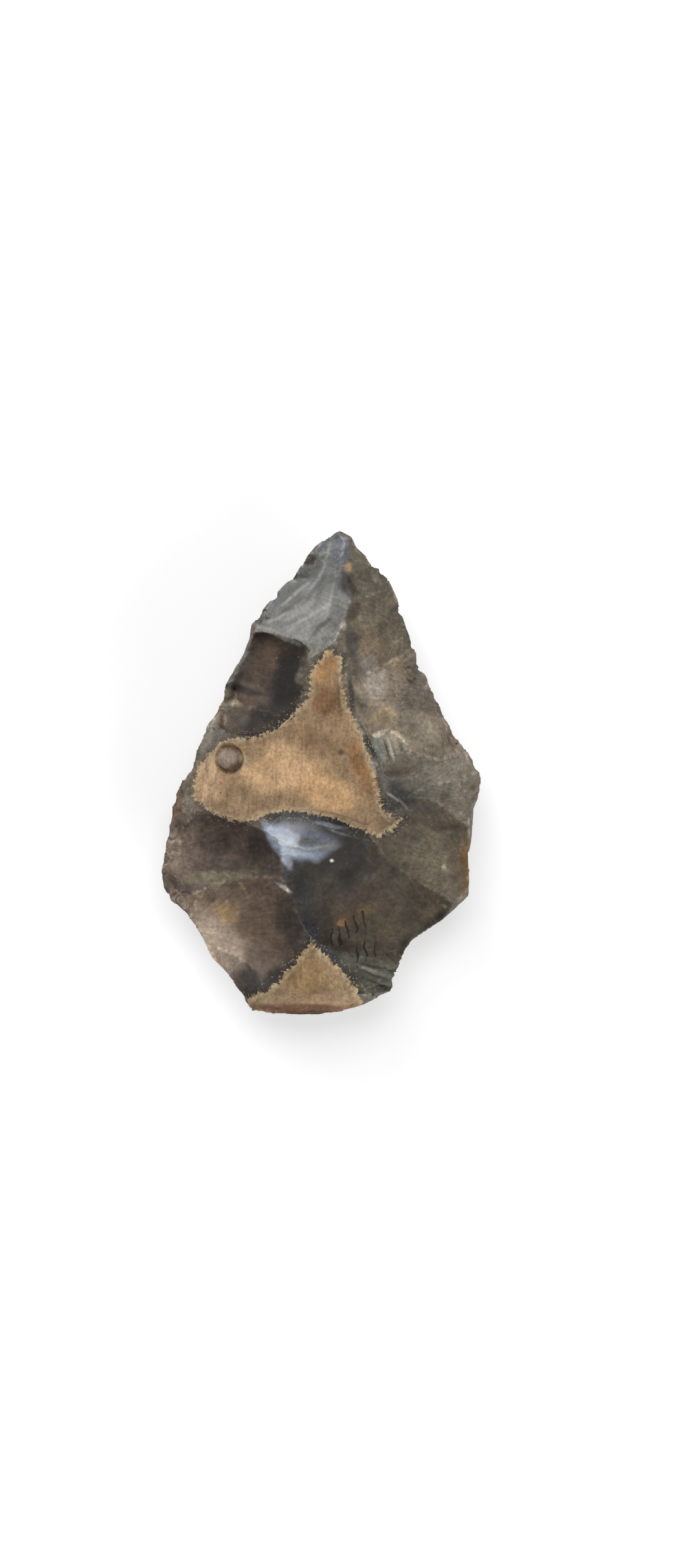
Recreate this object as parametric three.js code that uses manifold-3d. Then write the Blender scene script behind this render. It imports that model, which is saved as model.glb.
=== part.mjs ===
// A flint hand axe, chipped from a flat nodule: a pointed oval of stone, lying on its back face.
//
// It is made here in the order that a knapper works. First comes the blank, which is the rounded
// nodule trimmed all round to the outline of the axe. Then every flake is struck off in turn. A flake
// leaves a shallow bowl that starts at its strike point on the edge and runs in under the surface, so
// each flake is a squashed ball that is taken out of the blank. What no flake reaches is still the
// skin of the nodule: the tan patch on the front, the butt, and the small flat that the axe lies on.
//
// Millimetres, +Z up. The tip points to +Y. The origin is below the middle of the axe, on the ground.

import * as THREE from 'three';
import { ConvexGeometry } from 'three/addons/geometries/ConvexGeometry.js';
import { mergeVertices } from 'three/addons/utils/BufferGeometryUtils.js';
import Module from 'manifold-3d';

const wasm = await Module();
wasm.setup();

// ---------------------------------------------------------------- driving dimensions

const BACK_DEPTH = 14;        // from the ground up to the mean level of the edge
const FRONT_DEPTH = 16.8;     // from the mean level of the edge up to the skin of the nodule
const CORE = new THREE.Vector2(0, -8);   // the middle that the flakes are struck towards
const FRONT_ROOF = 75;        // height of the trimmed cone over the core, above the edge
const BACK_ROOF = 55;         // the same below the edge
const FACET = 3.4;            // size of the facets that stand for a curved surface
const EDGE_STEP = 3;          // spacing of the points along the edge
const SHAFT = 60;             // how far each flake's hollow is open towards its own side

// The nodule in plan: a middle, a half width on each of its four sides, and how boxy its corners are.
const NODULE = { x: -2, y: 5, left: 42, right: 52, tip: 66, butt: 67, corner: 2.4, profile: 2.1 };
const NODULE_SEGMENTS = 48;
const NODULE_RINGS = 14;

// The edge isn't quite level: it rises and falls in waves round the axe.
const EDGE_WAVES = [
  { height: 0.7, count: 5, turn: 30 },
  { height: 0.5, count: 9, turn: 200 },
];

// The outline, clockwise from the tip: corner x, corner y, and how far the edge bulges before the next.
const OUTLINE = [
  [4.3, 60.3, 0], [7.2, 58.8, 0.2], [8.4, 56.2, 0], [15.8, 49.2, 0.3], [17.8, 45.2, 0.2],
  [19.6, 39.8, -0.2], [25.8, 25, 0], [30.4, 13.8, -0.5], [37.6, 4.4, 0.3], [39.7, -1.6, 0.3],
  [37.4, -8.6, 0.2], [36.4, -19.5, 0.1], [36.2, -30.2, 0.2], [22.9, -42, -0.9], [17, -54.2, 0.2],
  [8, -58, 0.4], [-4, -59.6, 0.3], [-17.3, -58.8, -0.3], [-27.6, -45.4, -1.4], [-38, -30.8, 1],
  [-39.6, -22.5, 0.2], [-37.7, -12, 0.2], [-36.6, -4.2, 0.1], [-32.6, 1, -0.1], [-30.6, 8.4, 0.2],
  [-26.2, 15.2, -0.2], [-23.8, 22.4, -0.2], [-18.1, 33.4, 0.2], [-17.6, 37, 0.3],
  [-5.8, 51.2, 0.1], [-1.6, 56.6, 0.2],
];

// The flakes of the front, from the tip round the left side to the butt and back up the right side.
//   at      the strike point in plan
//   z       its height above the mean level of the edge; left out where it is at the edge
//   lift    how far above the edge a boxy hollow starts, so that its floor starts at the edge
//   aim     compass heading of the blow, in degrees from +X towards +Y
//   rise    how steeply the scar climbs from the strike point
//   size    length, width and depth of the scar
//   full    how much of a ball the hollow is: 1 has upright walls, more is shallower
//   square  2 is a round hollow, more is a boxy one that ends in a step
const FRONT_FLAKES = [
  { at: [-9.2, 47.2], aim: -54, rise: 37, size: [24, 34, 2], full: 2.4, square: 2.4 },
  { at: [1, 58.6], aim: -78, rise: 30, size: [10, 7, 0.8], full: 3 },
  { at: [-21.2, 27.2], lift: 3, aim: -17, rise: 27, size: [19.2, 20, 4], full: 1.25, square: 3.4 },
  { at: [-26.4, 16.8], lift: 1.4, aim: 4, rise: 26, size: [22.4, 15.6, 3.3], full: 1.5 },
  { at: [-31.2, 5.6], aim: -8, rise: 52, size: [5.5, 24, 0.6], full: 4 },
  { at: [-37.3, -8.5], aim: -25, rise: 48, size: [11, 18, 0.8], full: 4 },
  { at: [-39.9, -18.3], lift: 1.1, aim: -20, rise: 20.5, size: [39, 23.6, 3.4], full: 2, square: 2.3 },
  { at: [-39.4, -29], lift: 0.5, aim: 25, rise: 30, size: [14, 10, 0.8], full: 3 },
  { at: [-33.6, -38], lift: 0.4, aim: -3, rise: 19.5, size: [35, 28.6, 3.8], full: 2 },
  { at: [-24.2, -50.2], lift: 0.4, aim: 35, rise: 36, size: [9, 14, 0.8], full: 3 },
  { at: [31, -43], lift: 0.6, aim: 147.5, rise: 16.5, size: [55, 29, 4.9], full: 1.6, square: 2.3 },
  { at: [19.4, -49.2], aim: 166, rise: 25, size: [21, 13.5, 1.5], full: 2.5 },
  { at: [12, 53], aim: 225, rise: 38, size: [14, 16, 0.8], full: 4 },
  { at: [20.5, 38], aim: 200, rise: 36.5, size: [22, 34, 1.2], full: 4 },
  { at: [28, 19.5], aim: 200, rise: 39, size: [27, 34, 1.4], full: 4 },
  { at: [36, 5.5], aim: 208, rise: 34, size: [30, 30, 1.4], full: 4 },
  { at: [39, -5], aim: 180, rise: 34, size: [26, 18, 1.6], full: 4 },
  { at: [36.6, -23], lift: 0.2, aim: 176, rise: 14, size: [27, 26, 2.9], full: 2.4 },
  { at: [21.5, 9.2], z: 7.4, aim: 194, rise: 35, size: [9.5, 7, 1.2], full: 1.15, square: 4 },
  { at: [23, 2.8], z: 7.2, aim: 186, rise: 33, size: [9.5, 6, 1.2], full: 1.15, square: 4 },
];

// The flakes of the back are plainer: one from each of these headings round the core, in this order,
// each reaching a share of the way in from the edge. Those beside the tip turn in across it.
const BACK_FLAKES = [
  { heading: 87, reach: 0.62 }, { heading: 72, reach: 0.46, turn: -24 }, { heading: 54, reach: 0.56 },
  { heading: 36, reach: 0.62 }, { heading: 12, reach: 0.56 }, { heading: -14, reach: 0.66 },
  { heading: -40, reach: 0.56 }, { heading: -68, reach: 0.5 }, { heading: -98, reach: 0.6 },
  { heading: -130, reach: 0.52 }, { heading: -158, reach: 0.64 }, { heading: -188, reach: 0.56 },
  { heading: -214, reach: 0.6 }, { heading: -236, reach: 0.56 },
  { heading: -254, reach: 0.46, turn: 24 },
];
const BACK_OVERLAP = 1.6;     // how much wider each back scar is than its share of the edge
const BACK_RUN_OUT = 1.3;     // how much longer the hollow is than the scar
const BACK_FLAKE_DEPTH = 1.3;
const BACK_FULL = 3;
const BACK_LIFT = 0.6;        // the back scars start a little inside the edge

// A pit in the tan skin, with a round knob of grey flint in it.
const PIT = { at: [-26.4, 3.5], z: 12.4, aim: 0, rise: 18, size: [7.8, 7.4, 2], full: 1.6 };
const KNOB = { x: -22.6, y: 3.5, z: 12.7, radius: 2.7, height: 2.3 };

const FLINT = { color: 0x5f574e, roughness: 0.42, metalness: 0 };

// ---------------------------------------------------------------- the outline and the edge

const radians = THREE.MathUtils.degToRad;

function outlinePoints() {
  const points = [];
  OUTLINE.forEach(([x, y, bulge], index) => {
    const [nextX, nextY] = OUTLINE[(index + 1) % OUTLINE.length];
    const chord = new THREE.Vector2(nextX - x, nextY - y);
    const outward = new THREE.Vector2(-chord.y, chord.x).normalize();
    const pieces = Math.max(1, Math.round(chord.length() / EDGE_STEP));
    for (let piece = 0; piece < pieces; piece += 1) {
      const share = piece / pieces;
      const point = new THREE.Vector2(x, y).addScaledVector(chord, share);
      points.push(point.addScaledVector(outward, 4 * bulge * share * (1 - share)));
    }
  });
  return points;
}

// Height of the edge above its own mean level, in the direction of a point from the core.
function edgeHeight(x, y) {
  const heading = Math.atan2(y - CORE.y, x - CORE.x);
  return EDGE_WAVES.reduce(
    (sum, wave) => sum + wave.height * Math.cos(wave.count * heading + radians(wave.turn)), 0);
}

// Where the edge lies in a given direction from the core: the outline's stretch that crosses it.
function edgePoint(edge, heading) {
  const direction = new THREE.Vector2(Math.cos(heading), Math.sin(heading));
  for (let index = 0; index < edge.length; index += 1) {
    const start = edge[index].clone().sub(CORE);
    const stretch = edge[(index + 1) % edge.length].clone().sub(CORE).sub(start);
    const turn = direction.cross(stretch);
    const share = start.cross(direction) / turn;
    const distance = start.cross(stretch) / turn;
    if (share >= 0 && share < 1 && distance > 0) {
      return direction.multiplyScalar(distance).add(CORE);
    }
  }
  throw new Error('the outline has a gap');
}

// ---------------------------------------------------------------- solids

// A closed geometry as a solid that can be cut: shared corners are merged and empty faces dropped.
function solid(geometry) {
  geometry.deleteAttribute('normal');
  geometry.deleteAttribute('uv');
  const merged = mergeVertices(geometry);
  const corners = merged.getIndex().array;
  const faces = [];
  for (let first = 0; first < corners.length; first += 3) {
    const face = [corners[first], corners[first + 1], corners[first + 2]];
    if (new Set(face).size === 3) {
      faces.push(...face);
    }
  }
  const vertProperties = new Float32Array(merged.getAttribute('position').array);
  const triVerts = new Uint32Array(faces);
  return new wasm.Manifold(new wasm.Mesh({ numProp: 3, vertProperties, triVerts }));
}

// The trimmed blank's sides: two blunt cones, base to base, that meet along the edge.
function trimmedSides(edge) {
  const positions = [CORE.x, CORE.y, BACK_DEPTH + FRONT_ROOF, CORE.x, CORE.y, BACK_DEPTH - BACK_ROOF];
  edge.forEach((point) => {
    positions.push(point.x, point.y, BACK_DEPTH + edgeHeight(point.x, point.y));
  });
  const faces = [];
  for (let index = 0; index < edge.length; index += 1) {
    const here = 2 + index;
    const next = 2 + ((index + 1) % edge.length);
    faces.push(0, next, here, 1, here, next);
  }
  const geometry = new THREE.BufferGeometry();
  geometry.setAttribute('position', new THREE.Float32BufferAttribute(positions, 3));
  geometry.setIndex(faces);
  return solid(geometry);
}

// The nodule: a low dome on a straight skirt, turned round and then stretched by its half widths.
function nodule() {
  const profile = [new THREE.Vector2(0, 0), new THREE.Vector2(1, 0)];
  for (let ring = 0; ring < NODULE_RINGS; ring += 1) {
    const reach = Math.cos((ring / NODULE_RINGS) * Math.PI / 2);
    const height = (1 - reach ** NODULE.profile) ** (1 / NODULE.profile);
    profile.push(new THREE.Vector2(reach, BACK_DEPTH + FRONT_DEPTH * height));
  }
  profile.push(new THREE.Vector2(0, BACK_DEPTH + FRONT_DEPTH));
  const geometry = new THREE.LatheGeometry(profile, NODULE_SEGMENTS);
  geometry.rotateX(Math.PI / 2);
  const position = geometry.getAttribute('position');
  for (let index = 0; index < position.count; index += 1) {
    const x = position.getX(index);
    const y = position.getY(index);
    const reach = Math.hypot(x, y);
    const corner = (Math.abs(x) ** NODULE.corner + Math.abs(y) ** NODULE.corner) ** (1 / NODULE.corner);
    const boxy = corner > 0 ? reach / corner : 1;
    position.setX(index, NODULE.x + x * boxy * (x < 0 ? NODULE.left : NODULE.right));
    position.setY(index, NODULE.y + y * boxy * (y < 0 ? NODULE.butt : NODULE.tip));
  }
  return solid(geometry);
}

// Corner points spread evenly over a ball of radius 1.
function ballPoints(spacing) {
  const icosahedronEdge = 1.107;
  const geometry = new THREE.IcosahedronGeometry(1, Math.max(2, Math.round(icosahedronEdge / spacing) - 1));
  geometry.deleteAttribute('normal');
  geometry.deleteAttribute('uv');
  const position = mergeVertices(geometry).getAttribute('position');
  const points = [];
  for (let index = 0; index < position.count; index += 1) {
    points.push(new THREE.Vector3().fromBufferAttribute(position, index));
  }
  return points;
}

// One flake: the hollow that it leaves, open upwards on the front and downwards on the back.
function flake({ at: [x, y], z, lift = 0, aim, rise, size: [length, width, depth], full, square = 2 }, side) {
  const heading = radians(aim);
  const climb = radians(rise);
  const along = new THREE.Vector3(
    Math.cos(heading) * Math.cos(climb), Math.sin(heading) * Math.cos(climb), Math.sin(climb));
  const across = new THREE.Vector3(-Math.sin(heading), Math.cos(heading), 0);
  const outOf = along.clone().cross(across);
  const chord = (1 - (1 - 1 / full) ** square) ** (1 / square);
  const half = new THREE.Vector3(length / 2 / chord, width / 2 / chord, full * depth);
  const centre = new THREE.Vector3(x, y, z ?? edgeHeight(x, y) * side + lift)
    .addScaledVector(along, length / 2)
    .addScaledVector(outOf, half.z - depth);
  const points = [];
  ballPoints(FACET / Math.max(half.x, half.y)).forEach((direction) => {
    const reach = [direction.x, direction.y, direction.z]
      .reduce((sum, part) => sum + Math.abs(part) ** square, 0) ** (-1 / square);
    const low = centre.clone()
      .addScaledVector(along, direction.x * reach * half.x)
      .addScaledVector(across, direction.y * reach * half.y)
      .addScaledVector(outOf, direction.z * reach * half.z);
    const high = low.clone().setZ(low.z + SHAFT);
    points.push(low, high);
  });
  points.forEach((point) => point.setZ(BACK_DEPTH + point.z * side));
  return solid(new ConvexGeometry(points));
}

// A back flake's strike point, heading, slope and size, from its heading and its reach.
function backFlake(edge, index) {
  const { heading, reach, turn = 0 } = BACK_FLAKES[index];
  const before = BACK_FLAKES.at(index - 1).heading;
  const after = BACK_FLAKES[(index + 1) % BACK_FLAKES.length].heading;
  const share = THREE.MathUtils.euclideanModulo(before - after, 360) / 2;
  const strike = edgePoint(edge, radians(heading));
  const radius = strike.distanceTo(CORE);
  const length = radius * reach;
  return {
    at: [strike.x, strike.y],
    aim: heading + 180 + turn,
    rise: THREE.MathUtils.radToDeg(Math.atan2(BACK_DEPTH, length)),
    size: [length * BACK_RUN_OUT, 2 * radius * Math.tan(radians(share / 2)) * BACK_OVERLAP, BACK_FLAKE_DEPTH],
    full: BACK_FULL,
    lift: BACK_LIFT,
  };
}

function knob() {
  const geometry = new THREE.IcosahedronGeometry(KNOB.radius, 3);
  geometry.scale(1, 1, KNOB.height / KNOB.radius);
  geometry.translate(KNOB.x, KNOB.y, BACK_DEPTH + KNOB.z);
  return solid(geometry);
}

// ---------------------------------------------------------------- the axe

function handAxe() {
  const edge = outlinePoints();
  let stone = trimmedSides(edge).intersect(nodule());
  FRONT_FLAKES.forEach((scar) => {
    stone = stone.subtract(flake(scar, 1));
  });
  BACK_FLAKES.forEach((scar, index) => {
    stone = stone.subtract(flake(backFlake(edge, index), -1));
  });
  stone = stone.subtract(flake(PIT, 1)).add(knob());
  const { vertProperties, triVerts } = stone.getMesh();
  const geometry = new THREE.BufferGeometry();
  geometry.setAttribute('position', new THREE.Float32BufferAttribute(vertProperties, 3));
  geometry.setIndex(Array.from(triVerts));
  const middle = new THREE.Box2().setFromPoints(edge).getCenter(new THREE.Vector2());
  geometry.translate(-middle.x, -middle.y, 0);
  geometry.computeVertexNormals();
  const axe = new THREE.Mesh(geometry, new THREE.MeshStandardMaterial(FLINT));
  axe.name = 'hand_axe';
  return axe;
}

const group = new THREE.Group();
group.add(handAxe());

export default group;
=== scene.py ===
# %% [markdown]
# # A flint hand axe, lying on its back face
# A knapper makes such an axe by striking flakes off a flat nodule of flint. Each flake leaves a shallow
# bowl, and the ridges between the bowls are the shape that we see. The solid that comes from the packed
# frame has every one of those bowls, cut with large flat facets. Here it gets its real surface: smooth
# bowls with the ripples that the blow sends through the stone, a bruised and chipped edge, and the matt,
# tan skin of the nodule where no flake has reached.

# %% Load the frame
import math

import bpy
import numpy as np
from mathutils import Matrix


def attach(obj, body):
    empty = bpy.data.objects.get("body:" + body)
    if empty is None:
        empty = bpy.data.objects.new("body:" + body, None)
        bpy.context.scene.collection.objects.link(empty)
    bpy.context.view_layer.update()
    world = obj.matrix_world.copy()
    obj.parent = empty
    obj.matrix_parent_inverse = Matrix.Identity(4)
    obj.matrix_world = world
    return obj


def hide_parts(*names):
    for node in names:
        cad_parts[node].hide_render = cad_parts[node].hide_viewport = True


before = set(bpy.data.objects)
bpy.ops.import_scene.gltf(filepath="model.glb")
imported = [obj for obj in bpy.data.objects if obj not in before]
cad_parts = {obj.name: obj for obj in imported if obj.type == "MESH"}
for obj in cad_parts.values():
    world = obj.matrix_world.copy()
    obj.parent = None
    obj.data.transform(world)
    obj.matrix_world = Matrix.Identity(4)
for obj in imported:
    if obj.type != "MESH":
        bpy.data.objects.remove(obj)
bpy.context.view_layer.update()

MM = 0.001
bpy.ops.object.select_all(action="DESELECT")

# %% [markdown]
# ## The knapper's plan
# The surface is worked out again from the same plan as the solid: an outline, a domed nodule, and a list
# of flakes. It could be read off the solid instead, but then its flat facets would show in the gloss of
# the flint. All of the plan is in millimetres, seen from above, with the level of the edge as height 0.

# %% The edge of the axe
OUTLINE = [
    (4.3, 60.3, 0), (7.2, 58.8, 0.2), (8.4, 56.2, 0), (15.8, 49.2, 0.3), (17.8, 45.2, 0.2),
    (19.6, 39.8, -0.2), (25.8, 25, 0), (30.4, 13.8, -0.5), (37.6, 4.4, 0.3), (39.7, -1.6, 0.3),
    (37.4, -8.6, 0.2), (36.4, -19.5, 0.1), (36.2, -30.2, 0.2), (22.9, -42, -0.9), (17, -54.2, 0.2),
    (8, -58, 0.4), (-4, -59.6, 0.3), (-17.3, -58.8, -0.3), (-27.6, -45.4, -1.4), (-38, -30.8, 1),
    (-39.6, -22.5, 0.2), (-37.7, -12, 0.2), (-36.6, -4.2, 0.1), (-32.6, 1, -0.1), (-30.6, 8.4, 0.2),
    (-26.2, 15.2, -0.2), (-23.8, 22.4, -0.2), (-18.1, 33.4, 0.2), (-17.6, 37, 0.3),
    (-5.8, 51.2, 0.1), (-1.6, 56.6, 0.2),
]
EDGE_STEP = 3
CORE = np.array([0, -8])
EDGE_WAVES = [(0.7, 5, 30), (0.5, 9, 200)]


def outline_points():
    """Corner x, corner y, and the bulge of the stretch to the next corner, made into closer points."""
    points = []
    for (x, y, bulge), (next_x, next_y, _) in zip(OUTLINE, OUTLINE[1:] + OUTLINE[:1]):
        chord = np.array([next_x - x, next_y - y])
        outward = np.array([-chord[1], chord[0]]) / np.hypot(*chord)
        pieces = max(1, round(np.hypot(*chord) / EDGE_STEP))
        for share in np.arange(pieces) / pieces:
            points.append(np.array([x, y]) + chord * share + outward * 4 * bulge * share * (1 - share))
    return np.array(points)


def edge_height(heading):
    """The edge rises and falls in waves round the axe."""
    return sum(height * np.cos(count * heading + math.radians(turn)) for height, count, turn in EDGE_WAVES)


EDGE = outline_points()
MIDDLE = (EDGE.min(axis=0) + EDGE.max(axis=0)) / 2
edge_heading = np.arctan2(*(EDGE - CORE).T[::-1])
edge_order = np.argsort(edge_heading)


def edge_radius(heading):
    """Distance from the core to the edge, by where the straight stretch in that direction lies."""
    turned = edge_heading[edge_order]
    spot = np.searchsorted(turned, heading) % len(turned)
    start = EDGE[edge_order[spot - 1]] - CORE
    stretch = EDGE[edge_order[spot]] - CORE - start
    cross = np.cos(heading) * stretch[..., 1] - np.sin(heading) * stretch[..., 0]
    return (start[..., 0] * stretch[..., 1] - start[..., 1] * stretch[..., 0]) / cross


print(len(EDGE), "edge points, middle at", MIDDLE.round(2))

# %% [markdown]
# ## The flakes
# A flake's hollow is a squashed ball, as in the solid. Its strike point on the edge, its heading, its climb
# and its size say where the ball lies. A fuller ball cuts a deeper bowl, a boxy one stops short in a wall,
# and a lift starts it above the edge, so that it doesn't bite through.

# %% A strike
def strike(at, heading, climb, size, full=2, boxy=2, lift=0, height=None, side=1):
    """The squashed ball that one blow takes out of the stone."""
    if height is None:
        height = lift + side * edge_height(math.atan2(at[1] - CORE[1], at[0] - CORE[0]))
    start = np.array([at[0], at[1], height])
    length, width, depth = size
    turn, slope = math.radians(heading), math.radians(climb)
    along = np.array([math.cos(turn) * math.cos(slope), math.sin(turn) * math.cos(slope), math.sin(slope)])
    across = np.array([-math.sin(turn), math.cos(turn), 0])
    axes = np.array([along, across, np.cross(along, across)])
    chord = (1 - (1 - 1 / full) ** boxy) ** (1 / boxy)
    half = np.array([length / chord, width / chord, 2 * full * depth]) / 2
    middle = start + axes[0] * length / 2 + axes[2] * (half[2] - depth)
    return {"start": start, "axes": axes, "half": half, "middle": middle, "boxy": boxy, "length": length}


# %% The front
FRONT = {
    "tip left": strike((-9.2, 47.2), -54, 37, (24, 34, 2), full=2.4, boxy=2.4),
    "tip end": strike((1, 58.6), -78, 30, (10, 7, 0.8), full=3),
    "notch": strike((-21.2, 27.2), -17, 27, (19.2, 20, 4), full=1.25, boxy=3.4, lift=3),
    "notch foot": strike((-26.4, 16.8), 4, 26, (22.4, 15.6, 3.3), full=1.5, lift=1.4),
    "left sliver": strike((-31.2, 5.6), -8, 52, (5.5, 24, 0.6), full=4),
    "left corner": strike((-37.3, -8.5), -25, 48, (11, 18, 0.8), full=4),
    "left bowl": strike((-39.9, -18.3), -20, 20.5, (39, 23.6, 3.4), boxy=2.3, lift=1.1),
    "left nick": strike((-39.4, -29), 25, 30, (14, 10, 0.8), full=3, lift=0.5),
    "butt bowl": strike((-33.6, -38), -3, 19.5, (35, 28.6, 3.8), lift=0.4),
    "butt nick": strike((-24.2, -50.2), 35, 36, (9, 14, 0.8), full=3, lift=0.4),
    "long bowl": strike((31, -43), 147.5, 16.5, (55, 29, 4.9), full=1.6, boxy=2.3, lift=0.6),
    "butt right": strike((19.4, -49.2), 166, 25, (21, 13.5, 1.5), full=2.5),
    "tip right": strike((12, 53), 225, 38, (14, 16, 0.8), full=4),
    "upper right": strike((20.5, 38), 200, 36.5, (22, 34, 1.2), full=4),
    "mid right": strike((28, 19.5), 200, 39, (27, 34, 1.4), full=4),
    "nose": strike((36, 5.5), 208, 34, (30, 30, 1.4), full=4),
    "below nose": strike((39, -5), 180, 34, (26, 18, 1.6), full=4),
    "right bowl": strike((36.6, -23), 176, 14, (27, 26, 2.9), full=2.4, lift=0.2),
    "step": strike((21.5, 9.2), 194, 35, (9.5, 7, 1.2), full=1.15, boxy=4, height=7.4),
    "lower step": strike((23, 2.8), 186, 33, (9.5, 6, 1.2), full=1.15, boxy=4, height=7.2),
}
PIT = strike((-26.4, 3.5), 0, 18, (7.8, 7.4, 2), full=1.6, height=12.4)
KNOB_MIDDLE = np.array([-22.6, 3.5, 12.7])
KNOB_HALF = np.array([2.7, 2.7, 2.3])
print(len(FRONT), "flakes on the front")

# %% [markdown]
# Nobody sees the back while the axe lies on it, so its flakes are plainer: one loop spaces them round the
# edge, and each takes its width from its share of the edge and its climb from the thickness of the stone.

# %% The back
FRONT_DEPTH, BACK_DEPTH = 16.8, 14
BACK_PLAN = [
    (87, 0.62, 0), (72, 0.46, -24), (54, 0.56, 0), (36, 0.62, 0), (12, 0.56, 0), (-14, 0.66, 0),
    (-40, 0.56, 0), (-68, 0.5, 0), (-98, 0.6, 0), (-130, 0.52, 0), (-158, 0.64, 0), (-188, 0.56, 0),
    (-214, 0.6, 0), (-236, 0.56, 0), (-254, 0.46, 24),
]
BACK_OVERLAP, BACK_RUN_OUT, BACK_FLAKE_DEPTH = 1.6, 1.3, 1.3


def edge_place(heading):
    """The point of the edge in one direction from the core."""
    reach = edge_radius(np.array([heading]))[0]
    return CORE + reach * np.array([math.cos(heading), math.sin(heading)]), reach


def back_flakes():
    flakes = {}
    for index, (heading, reach, turn) in enumerate(BACK_PLAN):
        share = (BACK_PLAN[index - 1][0] - BACK_PLAN[(index + 1) % len(BACK_PLAN)][0]) % 360 / 2
        place, radius = edge_place(math.remainder(math.radians(heading), 2 * math.pi))
        width = 2 * radius * math.tan(math.radians(share / 2)) * BACK_OVERLAP
        climb = math.degrees(math.atan2(BACK_DEPTH, radius * reach))
        size = (radius * reach * BACK_RUN_OUT, width, BACK_FLAKE_DEPTH)
        flakes[f"back {index}"] = strike(place, heading + 180 + turn, climb, size, full=3, lift=0.6, side=-1)
    return flakes


BACK = back_flakes()
print(len(BACK), "flakes on the back")

# %% [markdown]
# ## Reading the surface
# Above any point of the plan, the stone ends at the lowest of the nodule's skin, the steep roof that is
# left at the edge, and the floors of the hollows. Each floor comes with its slope, which tells how far away
# the next ridge is, and lets a point slide onto a wall as well as onto a floor.

# %% Floors and faces
ROOF = {1: 75, -1: 55}
SLOPE_STEP = 0.01
NEWTON_STEPS = 14


def hollow_floor(flake, x, y):
    """Floor of a hollow above the points: which points it covers, its height and its slope."""
    boxy, axes = flake["boxy"], flake["axes"]
    grow = 3 ** (0.5 - 1 / boxy)
    shape = axes.T / (flake["half"] * grow)
    flat = np.outer(x - flake["middle"][0], shape[0]) + np.outer(y - flake["middle"][1], shape[1])
    lean, steep = flat @ shape[2], shape[2] @ shape[2]
    room = lean ** 2 - steep * ((flat ** 2).sum(axis=1) - 1)
    covered = np.flatnonzero(room > 0)
    flat, height = flat[covered], (-lean[covered] - np.sqrt(room[covered])) / steep
    for _ in range(1 if boxy == 2 else NEWTON_STEPS):
        spot = (flat + height[:, None] * shape[2]) * grow
        miss = (np.abs(spot) ** boxy).sum(axis=1) - 1
        pull = np.sign(spot) * np.abs(spot) ** (boxy - 1)
        fall = np.minimum(pull @ shape[2] * grow * boxy, -1e-4)
        height = height - np.clip(miss / fall, -5, 5)
    found = np.abs(miss) < 1e-3
    slope = -(pull @ shape[:2].T) / np.minimum(pull @ shape[2], -1e-4)[:, None]
    return covered[found], height[found] + flake["middle"][2], slope[found]


def roof(x, y, side):
    heading = np.arctan2(y - CORE[1], x - CORE[0])
    reach = np.hypot(y - CORE[1], x - CORE[0]) / edge_radius(heading)
    return edge_height(heading) * side * reach + ROOF[side] * (1 - reach)


def skin(x, y, side):
    if side < 0:
        return np.full(len(x), float(BACK_DEPTH))
    across = np.abs(x + 2) / np.where(x < -2, 42, 52)
    along = np.abs(y - 5) / np.where(y < 5, 67, 66)
    reach = (across ** 2.4 + along ** 2.4) ** (1 / 2.4)
    return FRONT_DEPTH * np.maximum(1 - reach ** 2.1, 0) ** (1 / 2.1)


def with_slope(surface, x, y, side):
    height = surface(x, y, side)
    slope_x = (surface(x + SLOPE_STEP, y, side) - height) / SLOPE_STEP
    slope_y = (surface(x, y + SLOPE_STEP, side) - height) / SLOPE_STEP
    return height, np.stack([slope_x, slope_y], axis=1)


def face(x, y, flakes, side):
    """The stone's surface above the points, and what it is made of there."""
    height, slope = with_slope(roof, x, y, side)
    owner = np.full(len(x), -1)
    second, second_slope = np.full(len(x), 99.0), np.zeros((len(x), 2))
    for index, flake in enumerate(flakes):
        spots, floor, floor_slope = hollow_floor(flake, x, y)
        lower = floor < height[spots]
        between = ~lower & (floor < second[spots])
        second[spots[lower]], second_slope[spots[lower]] = height[spots[lower]], slope[spots[lower]]
        second[spots[between]], second_slope[spots[between]] = floor[between], floor_slope[between]
        height[spots[lower]], slope[spots[lower]] = floor[lower], floor_slope[lower]
        owner[spots[lower]] = index
    ridge = (second - height) / np.maximum(np.linalg.norm(second_slope - slope, axis=1), 0.05)
    skin_height, skin_slope = with_slope(skin, x, y, side)
    tilt = np.maximum(np.linalg.norm(slope - skin_slope, axis=1), 0.05)
    to_skin = np.clip((height - skin_height) / tilt, -20, 20)
    shown = skin_height < height
    height, slope = np.where(shown, skin_height, height), np.where(shown[:, None], skin_slope, slope)
    return {"height": height, "slope": slope, "owner": owner, "ridge": ridge, "skin": to_skin}


# %% [markdown]
# ## The bruised edge
# A flint edge isn't a clean line. Use and weather take small flakes off it all the way round, on both
# faces, which is why its outline is nibbled. These small flakes start just outside the edge.

# %% Small flakes along the edge
chance = np.random.default_rng(7)
NICKS = {1: 64, -1: 56}
# stretches of the edge that are still whole: middle x, middle y, radius
WHOLE_EDGE = [(4, 60, 6), (-20, 28, 8.5), (36, -22, 17), (27, -40, 9), (-29, -43, 9)]


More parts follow.
